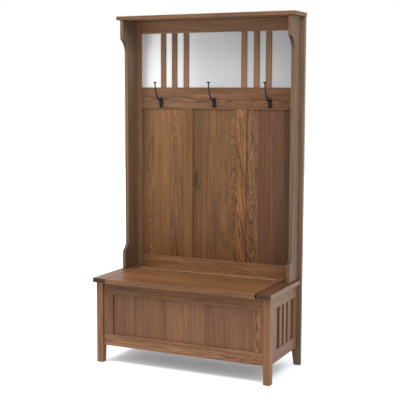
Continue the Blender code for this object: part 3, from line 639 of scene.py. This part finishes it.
backPanels = {
    "seed": 12.4, "seedStep": 1.7,
    "left": [
        {"end": 0.12, "cut": "straight", "tone": 1.12, "toneEnd": 0.88, "contrast": 0.9, "haze": 0.09,
         "hazeEnd": 0.17},
        {"end": 0.30, "cut": "cathedralDown", "tone": 1.38, "toneEnd": 1.30, "peak": 0.36, "haze": 0.04,
         "hazeEnd": 0.14},
        {"end": 0.64, "cut": "straight", "tone": 0.80, "toneEnd": 1.30, "contrast": 0.6, "hazeEnd": 0.12},
        {"end": 1.00, "cut": "flame", "tone": 0.90, "toneEnd": 1.32, "peak": 0.75, "contrast": 1.1,
         "hazeEnd": 0.12},
    ],
    "centre": [
        {"end": 0.22, "cut": "straight", "tone": 0.85, "toneEnd": 0.65, "contrast": 0.9,
         "knot": (0.0, 0.022), "hazeEnd": 0.12},
        {"end": 0.62, "cut": "rift", "tone": 0.84, "toneEnd": 1.00, "hazeEnd": 0.11},
        {"end": 1.00, "cut": "cathedral", "tone": 0.82, "toneEnd": 0.92, "peak": 0.4, "shift": 0.028,
         "contrast": 0.95, "hazeEnd": 0.11},
    ],
    "right": [
        {"end": 0.27, "cut": "cathedralDown", "tone": 1.22, "toneEnd": 1.26, "peak": 0.4, "contrast": 1.5,
         "haze": 0.02, "hazeEnd": 0.13},
        {"end": 0.52, "cut": "straight", "tone": 0.59, "toneEnd": 0.56, "red": 0.8, "contrast": 0.6,
         "hazeEnd": 0.06},
        {"end": 0.80, "cut": "straight", "tone": 0.51, "toneEnd": 0.82, "red": 0.7, "contrast": 0.7,
         "hazeEnd": 0.11},
        {"end": 1.00, "cut": "straight", "tone": 0.48, "red": 0.2, "contrast": 0.7, "haze": 0.09},
    ],
}


def makeBackPanels():
    for number, side in enumerate(("left", "centre", "right")):
        oakBoard(f"back_panel_{side}", f"backPanel.{side}", "z", "panelOak", backPanels[side], 0,
                 backPanels["seed"] + number * backPanels["seedStep"])


mirrorSlats = {"ease": 0.0010, "seed": 20.3, "contrast": 0.8, "haze": 0.17,
               "tones": (1.34, 1.26, 1.28, 1.10, 1.10, 1.20)}       # from left to right


def makeMirrorSlats():
    look = mirrorSlats
    names = [(side, number) for side in ("left", "right") for number in (1, 2, 3)]
    for place, ((side, number), tone) in enumerate(zip(names, look["tones"])):
        staves = plain("rift", tone, contrast=look["contrast"], haze=look["haze"])
        oakBoard(f"mirror_slat_{side}_{number}", f"mirrorSlat.{side}.{number}", "z", "frameOak", staves,
                 look["ease"], look["seed"] + place)


benchFront = {
    "ease": 0.0012, "seed": 31.2,
    "legs": {"ease": 0.0016, "seed": 28.5, "left": plain("rift", 1.15), "right": plain("rift", 1.14)},
    "members": {
        "front_top_rail": ("x", "panelOak", plain("rift", 0.82, red=0.2, contrast=0.85)),
        "front_bottom_rail": ("x", "frameOak", plain("flowing", 1.25, peak=0.8, haze=0.03, contrast=1.2)),
        "front_stile_left": ("z", "frameOak", plain("rift", 0.90)),
        "front_stile_right": ("z", "frameOak", plain("flame", 1.05, peak=0.3, contrast=1.3)),
    },
    "panelSeed": 36.6,
    "panel": [
        {"end": 0.10, "cut": "straight", "tone": 0.70, "contrast": 0.75, "red": 0.3},
        {"end": 0.40, "cut": "straight", "tone": 0.79, "contrast": 0.72, "red": 0.2},
        {"end": 0.655, "cut": "straight", "tone": 0.95, "contrast": 0.72, "red": 0.2},
        {"end": 0.84, "cut": "straight", "tone": 0.81, "contrast": 0.72, "red": 0.3},
        {"end": 1.00, "cut": "straight", "tone": 0.84, "contrast": 0.72, "red": 0.3},
    ],
}


def makeBenchFront():
    legs = benchFront["legs"]
    for number, side in enumerate(("left", "right")):
        oakBoard(f"front_leg_{side}", f"frontLeg.{side}", "z", "frameOak", legs[side], legs["ease"],
                 legs["seed"] + number, faces="all")
    makeMembers(benchFront)
    oakBoard("front_panel", "frontPanel", "z", "frameOak", benchFront["panel"], 0, benchFront["panelSeed"])


benchSide = {
    "ease": 0.0012, "seed": 40.7, "seedStep": 9,
    "frame": {      # the grain's way, tone and painted grey sheen
        "side_top_rail": ("y", 1.16, 0.15), "side_bottom_rail": ("y", 1.0, 0.06),
        "side_front_stile": ("z", 1.04, 0.05), "side_rear_stile": ("z", 1.0, 0.05),
        "side_panel": ("z", 0.85, 0.04)},
    "slatTones": (1.0, 1.06, 0.98), "slatEase": 0.0010, "slatPaintedSheen": 0.05, "slatSeed": 6,
}


def makeBenchSides():
    look = benchSide
    for number, side in enumerate(("left", "right")):
        seed = look["seed"] + number * look["seedStep"]
        for step, (node, (grain, tone, haze)) in enumerate(look["frame"].items()):
            ease = 0 if node == "side_panel" else look["ease"]
            oakBoard(f"{node}_{side}", f"{node}.{side}".replace("_", "."), grain, "frameOak",
                     plain("rift", tone, haze=haze), ease, seed + step)
        for step, tone in enumerate(look["slatTones"]):
            oakBoard(f"side_slat_{side}_{step + 1}", f"sideSlat.{side}.{step + 1}", "z", "frameOak",
                     plain("rift", tone, haze=look["slatPaintedSheen"]), look["slatEase"],
                     seed + look["slatSeed"] + step)


seat = {
    "ease": 0.0024,
    "endSeed": 60.2,
    # painted light: the end boards' side faces are painted lighter than their tops
    "ends": {"left": plain("rift", 0.84, endDark=0.80, edgeTone=1.4, haze=0.09),
             "right": plain("rift", 0.44, endDark=0.50, red=0.2, edgeTone=2.1, haze=0.05)},
    "stripSeed": 63.9, "stripEase": 0.0012,
    "strip": plain("straight", 0.95),
    "lidSeed": 66.4,
    "lid": [
        {"end": 0.30, "cut": "rift", "tone": 0.95, "toneEnd": 0.88, "contrast": 1.3, "haze": 0.025},
        {"end": 0.62, "cut": "straight", "tone": 1.05, "toneEnd": 0.94, "contrast": 1.2, "haze": 0.03},
        {"end": 1.00, "cut": "slanted", "tone": 0.94, "toneEnd": 0.87, "contrast": 1.4, "peak": 0.3,
         "haze": 0.035},
    ],
}


def makeSeat():
    look = seat
    for number, (side, staves) in enumerate(look["ends"].items()):
        oakBoard(f"seat_end_board_{side}", f"seatEnd.{side}", "y", "seatOak", staves, look["ease"],
                 look["endSeed"] + number)
    oakBoard("hinge_strip", "hingeStrip", "x", "seatOak", look["strip"], look["stripEase"],
             look["stripSeed"])
    oakBoard("seat_lid", "seatLid", "x", "seatOak", look["lid"], look["ease"], look["lidSeed"],
             body="lid")


makeCrown()
makeUprights()
makeMembers(backFrame)
makeBackPanels()
makeMirrorSlats()
makeBenchFront()
makeBenchSides()
makeSeat()
print("boards built")


def refinish(node, material):  # a CAD piece that keeps its own shape
    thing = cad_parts[node]
    if not thing.material_slots:
        thing.data.materials.append(material)
    for held in thing.material_slots:
        held.material = material


refinish("mirror_glass", mirrorFinish)
for node in ("mirror_backing", "chest_bottom", "chest_back"):
    refinish(node, plywoodFinish)
for node in ("hinge_leaf_fixed", "hinge_leaf_lid", "hinge_pin"):
    refinish(node, brassFinish)
print("fittings finished")


def addRings(bm, rings):  # a closed tube through rings of points
    loops = [[bm.verts.new(point) for point in ring] for ring in rings]
    for low, high in zip(loops, loops[1:]):
        for index in range(len(low)):
            after = (index + 1) % len(low)
            bm.faces.new((low[index], low[after], high[after], high[index]))
    bm.faces.new(list(reversed(loops[0])))
    bm.faces.new(loops[-1])


def turnsOf(sides):
    return [2 * math.pi * index / sides for index in range(sides)]


def pieceFrom(bm, name):
    mesh = bpy.data.meshes.new(name)
    bm.to_mesh(mesh)
    bm.free()
    piece = bpy.data.objects.new(name, mesh)
    scene.collection.objects.link(piece)
    return piece


screwHead = {
    "sides": 24, "smoothUpTo": 38,
    "profile": [(0.98, -0.30), (1.0, 0.02), (0.93, 0.16), (0.74, 0.30), (0.42, 0.39), (0.12, 0.42)],
    "slotHalf": 0.13, "slotDeep": 0.24, "slotReach": 0.97,      # shares of the screw's radius
    "slotFloor": 0.98,                                          # share of the slot's half width
}


def makeScrew(name, place, facing, radius, turn, finish, body="carcass", dome=1.0):
    # a domed head with a slot, facing along one direction
    look = screwHead
    bm = bmesh.new()
    turns = turnsOf(look["sides"])
    addRings(bm, [[Vector((radius * grow * math.cos(t), radius * grow * math.sin(t), radius * level * dome))
                   for t in turns] for grow, level in look["profile"]])
    half = radius * look["slotHalf"]
    for offset in (-half, half):  # the slot's two walls, then its floor is pushed down between them
        everything = bm.verts[:] + bm.edges[:] + bm.faces[:]
        bmesh.ops.bisect_plane(bm, geom=everything, plane_co=(0, offset, 0), plane_no=(0, 1, 0))
    for vert in bm.verts:
        between = abs(vert.co.y) < half * look["slotFloor"]
        within = vert.co.xy.length < radius * look["slotReach"]
        if between and within and vert.co.z > 0:
            vert.co.z -= radius * look["slotDeep"] * dome
    bmesh.ops.recalc_face_normals(bm, faces=bm.faces)
    screw = pieceFrom(bm, name)
    screw.data.materials.append(finish)
    screw.data.shade_smooth()
    screw.data.set_sharp_from_angle(angle=math.radians(look["smoothUpTo"]))
    screw.rotation_mode = "QUATERNION"
    screw.rotation_quaternion = Vector(facing).to_track_quat("Z", "Y") @ Euler((0, 0, turn)).to_quaternion()
    screw.location = place
    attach(screw, body)


coatHook = {
    "rise": 0.0300,                 # the plate's middle above its foot
    "plateSides": 44, "plateThick": 0.0032, "plateDome": 0.0012,
    "plateEdge": [(1.00, 0.0), (1.00, 0.45), (0.97, 0.75), (0.90, 0.93), (0.80, 1.0)], "plateMiddle": 0.45,
    "prongSides": 18, "prongSteps": 26, "nearby": 0.01, "rootSwell": (0.38, 16), "tipSwell": (0.10, 20),
    "longRise": 0.0100, "longRadius": (0.0056, 0.0033),
    "longBend": (0.034, -0.007), "longCurl": (-0.004, 0.028), "longLap": 0.002,
    "shortDrop": 0.0195, "shortRadius": (0.0041, 0.0033), "shortReach": 0.0165,
    "shortBend": (0.007, -0.0025), "shortCurl": (-0.001, -0.0075), "shortLap": 0.0015,
    "turnedSides": 28, "knob": 0.0099, "knobThick": 0.0080, "knobClear": 0.0001,
    "knobProfile": [(0.42, -0.125), (0.60, 0.075), (0.98, 0.34), (1.0, 0.48), (0.96, 0.62), (0.70, 0.86),
                    (0.3, 1.0)],
    "ballDrop": 0.0125, "ball": 0.0059, "ballSteps": 14, "ballOpen": 0.03,
    "voxel": 0.0008, "soften": 0.5, "softenTimes": 3,
    "screwAt": (0.0225, -0.0255), "screw": 0.0030, "screwProud": 0.0002, "screwTurn": (0.35, 1.1),
}


def curvePoint(points, share):  # on a curve with two end points and two that pull it
    rest = 1 - share
    weights = (rest ** 3, 3 * rest ** 2 * share, 3 * rest * share ** 2, share ** 3)
    return sum((Vector(point) * weight for point, weight in zip(points, weights)), Vector((0, 0)))


def addProng(bm, at, points, radii):
    # a tapered bar that swells where it grows out of the plate
    look = coatHook
    (rootMore, rootFade), (tipMore, tipFade) = look["rootSwell"], look["tipSwell"]
    rings = []
    for step in range(look["prongSteps"] + 1):
        share = step / look["prongSteps"]
        here = curvePoint(points, share)
        ahead = (curvePoint(points, min(share + look["nearby"], 1))
                 - curvePoint(points, max(share - look["nearby"], 0)))
        off = Vector((-ahead.y, ahead.x)).normalized()
        swell = 1 + rootMore * math.exp(-share * rootFade) + tipMore * math.exp(-(1 - share) * tipFade)
        radius = (radii[0] + (radii[1] - radii[0]) * share) * swell
        rings.append([at(radius * math.sin(t), here.x + off.x * radius * math.cos(t),
                         here.y + off.y * radius * math.cos(t)) for t in turnsOf(look["prongSides"])])
    addRings(bm, rings)


def addTurned(bm, at, out, up, profile):  # turned about an upright line
    turns = turnsOf(coatHook["turnedSides"])
    addRings(bm, [[at(radius * math.sin(t), out + radius * math.cos(t), up + height) for t in turns]
                  for radius, height in profile])


def addPlate(bm, at, half):
    look = coatHook
    thick = look["plateThick"]
    levels = look["plateEdge"] + [(look["plateMiddle"], 1.0 + look["plateDome"] / thick)]
    addRings(bm, [[at(half[0] * grow * math.cos(t), thick * level, half[1] * grow * math.sin(t))
                   for t in turnsOf(look["plateSides"])] for grow, level in levels])


def addLongProng(bm, at, root, reach, top):
    look = coatHook
    rise, knob, thick = look["longRise"], look["knob"], look["knobThick"]
    (bendOut, bendUp), (curlOut, curlUp) = look["longBend"], look["longCurl"]
    addProng(bm, at, ((root, rise), (root + bendOut, rise + bendUp), (reach + curlOut, rise + curlUp),
                      (reach, top - thick + look["longLap"])), look["longRadius"])
    profile = [(knob * grow, thick * level) for grow, level in look["knobProfile"]]
    addTurned(bm, at, reach, top - thick, profile)


def addShortProng(bm, at, root):
    look = coatHook
    ballOut, drop, ball = root + look["shortReach"], look["shortDrop"], look["ball"]
    (bendOut, bendUp), (curlOut, curlUp) = look["shortBend"], look["shortCurl"]
    addProng(bm, at, ((root, -drop), (root + bendOut, -drop + bendUp), (ballOut + curlOut, -drop + curlUp),
                      (ballOut, -look["ballDrop"] - look["shortLap"])), look["shortRadius"])
    opening, count = look["ballOpen"], look["ballSteps"]
    angles = [math.pi * (opening + (1 - 2 * opening) * step / count) for step in range(count + 1)]
    profile = [(ball * math.sin(angle), -ball * math.cos(angle)) for angle in angles]
    addTurned(bm, at, ballOut, -look["ballDrop"], profile)


def settle(piece):  # replace a piece's mesh by what its modifiers make of it
    bpy.context.view_layer.update()
    shown = piece.evaluated_get(bpy.context.evaluated_depsgraph_get())
    mesh = bpy.data.meshes.new_from_object(shown)
    piece.modifiers.clear()
    old = piece.data
    piece.data = mesh
    bpy.data.meshes.remove(old)
    mesh.name = piece.name


def castTogether(hook):  # the plate, the prongs and their ends become one smooth skin
    fuse = hook.modifiers.new("fuse", "REMESH")
    fuse.mode = "VOXEL"
    fuse.voxel_size = coatHook["voxel"]
    soften = hook.modifiers.new("soften", "SMOOTH")
    soften.factor = coatHook["soften"]
    soften.iterations = coatHook["softenTimes"]
    settle(hook)


def makeHook(side):
    look = coatHook
    node = f"coat_hook_{side}"
    low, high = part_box(node)
    middle, wall = (low.x + high.x) / 2, high.y
    plate = low.z + look["rise"]

    def at(across, out, up):
        return Vector((middle + across, wall - out, plate + up))

    bm = bmesh.new()
    root = look["plateThick"] / 2
    addPlate(bm, at, ((high.x - low.x) / 2, look["rise"]))
    addLongProng(bm, at, root, high.y - low.y - look["knob"] - look["knobClear"], high.z - plate)
    addShortProng(bm, at, root)
    bmesh.ops.recalc_face_normals(bm, faces=bm.faces)
    hook = pieceFrom(bm, f"coatHook.{side}")
    castTogether(hook)
    hook.data.materials.clear()
    hook.data.materials.append(bronzeFinish)
    hook.data.shade_smooth()
    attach(hook, "carcass")
    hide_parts(node)
    firstTurn, turnStep = look["screwTurn"]
    for number, up in enumerate(look["screwAt"]):
        makeScrew(f"hookScrew.{side}.{number + 1}", at(0, look["plateThick"] + look["screwProud"], up),
                  (0, -1, 0), look["screw"], firstTurn + number * turnStep + middle, bronzeFinish)


pianoHinge = {
    "screws": 14, "below": 0.0110, "screw": 0.0022, "dome": 0.26, "turnStep": 1.3, "leafGap": 0.0004,
    # each leaf's body, the way it faces and where its first screw stands, in screw spacings
    "leaves": {"fixed": ("carcass", -1, 0.3), "lid": ("lid", 1, 0.7)},
}


def makeHingeScrews():  # the two leaves' screws are staggered, so the heads pass each other
    look = pianoHinge
    low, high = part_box("hinge_pin")
    axis = (low + high) / 2
    pitch = (high.x - low.x) / look["screws"]
    for leaf, (body, facing, start) in look["leaves"].items():
        for number in range(look["screws"]):
            place = Vector((low.x + pitch * (number + start), axis.y - facing * look["leafGap"] / 2,
                            axis.z - look["below"]))
            makeScrew(f"hingeScrew.{leaf}.{number + 1}", place, (0, facing, 0), look["screw"],
                      number * look["turnStep"] + start, brassFinish, body, look["dome"])


for side in ("left", "centre", "right"):
    makeHook(side)
makeHingeScrews()
print("hooks and screws built")


studio = {
    "floor": {"x": (-9.0, 9.0), "y": (-4.6, 11.0), "below": 0.0004, "smears": (0.6, 0.70, 0.05),
              "colour": (0.84, 0.86, 0.885, 1), "glow": 0.145, "glowColour": (0.62, 0.80, 0.96, 1)},
    "lights": {"keyLight": {"from": (-2.0, -2.1, 5.0), "size": 2.0, "watts": 140.0},
               "fillLight": {"from": (2.5, -2.0, 4.9), "size": 2.0, "watts": 108.0}},
    "aim": (0.0, 0.0, 0.95),
    # how bright the studio is from left to right, behind and overhead, and where the last two begin
    "walls": [(0.0, 1.30), (0.26, 1.30), (0.335, 0.34), (0.50, 0.22), (0.66, 0.30), (0.80, 0.55),
              (1.0, 0.55)],
    "behind": 1.0, "behindFrom": (0.15, 0.60),
    "ceiling": 1.60, "ceilingFrom": (0.30, 0.65),
    "backdrop": (1.0, 1.0, 1.0, 1),
}


def makeFloor():
    look = studio["floor"]
    (left, right), (near, far) = look["x"], look["y"]
    bm = bmesh.new()
    bm.faces.new([bm.verts.new((x, y, -look["below"])) for x, y in
                  ((left, near), (right, near), (right, far), (left, far))])
    floor = pieceFrom(bm, "studioFloor")
    material, tree, shader = startMaterial("paleFloor", {
        "Base Color": look["colour"], "Emission Color": look["glowColour"],
        "Emission Strength": look["glow"]})
    faint = addSmears(tree, objectPlace(tree), *look["smears"])
    feed(tree, shader.inputs["Roughness"], faint["Roughness"])
    floor.data.materials.append(material)


def makeLight(name, look):
    lamp = bpy.data.lights.new(name, "AREA")
    lamp.shape = "SQUARE"
    lamp.size = look["size"]
    lamp.energy = look["watts"]
    light = bpy.data.objects.new(name, lamp)
    light.location = look["from"]
    light.rotation_euler = (Vector(studio["aim"]) - light.location).to_track_quat("-Z", "Y").to_euler()
    scene.collection.objects.link(light)


def grey(bright):
    return (bright, bright, bright, 1)


def makeWorld():
    world = bpy.data.worlds.new("studioWalls")
    scene.world = world
    world.use_nodes = True
    tree = world.node_tree
    background = tree.nodes["Background"]
    toRight, toBack, up = split(tree, put(tree, "ShaderNodeTexCoord").outputs["Generated"])
    place = calc(tree, "MULTIPLY_ADD", toRight, 0.5, 0.5)       # from -1..1 to the ramp's 0..1
    walls = steps(tree, place, studio["walls"])
    walls = mixColour(tree, remap(tree, toBack, *studio["behindFrom"]), walls, grey(studio["behind"]))
    walls = mixColour(tree, remap(tree, up, *studio["ceilingFrom"]), walls, grey(studio["ceiling"]))
    seen = put(tree, "ShaderNodeLightPath").outputs["Is Camera Ray"]
    feed(tree, background.inputs["Color"], mixColour(tree, seen, walls, studio["backdrop"]))
    background.inputs["Strength"].default_value = 1.0


# Metres from the middle of the floor under the hall tree, degrees, and millimetres of lens and sensor.
camera = {"place": (2.107, -4.400, 1.434), "down": 6.58, "turn": 25.41, "roll": -0.16, "lens": 85.1,
          "sensor": 36.0}


def makeCamera():
    lens = bpy.data.cameras.new("studioCamera")
    lens.lens = camera["lens"]
    lens.sensor_width = camera["sensor"]
    eye = bpy.data.objects.new("studioCamera", lens)
    eye.location = camera["place"]
    eye.rotation_mode = "XYZ"
    angles = (90 - camera["down"], camera["roll"], camera["turn"])
    eye.rotation_euler = Euler([math.radians(angle) for angle in angles])
    scene.collection.objects.link(eye)
    scene.camera = eye


makeFloor()
for name, look in studio["lights"].items():
    makeLight(name, look)
makeWorld()
makeCamera()
scene.view_settings.view_transform = "Standard"
print("studio built")
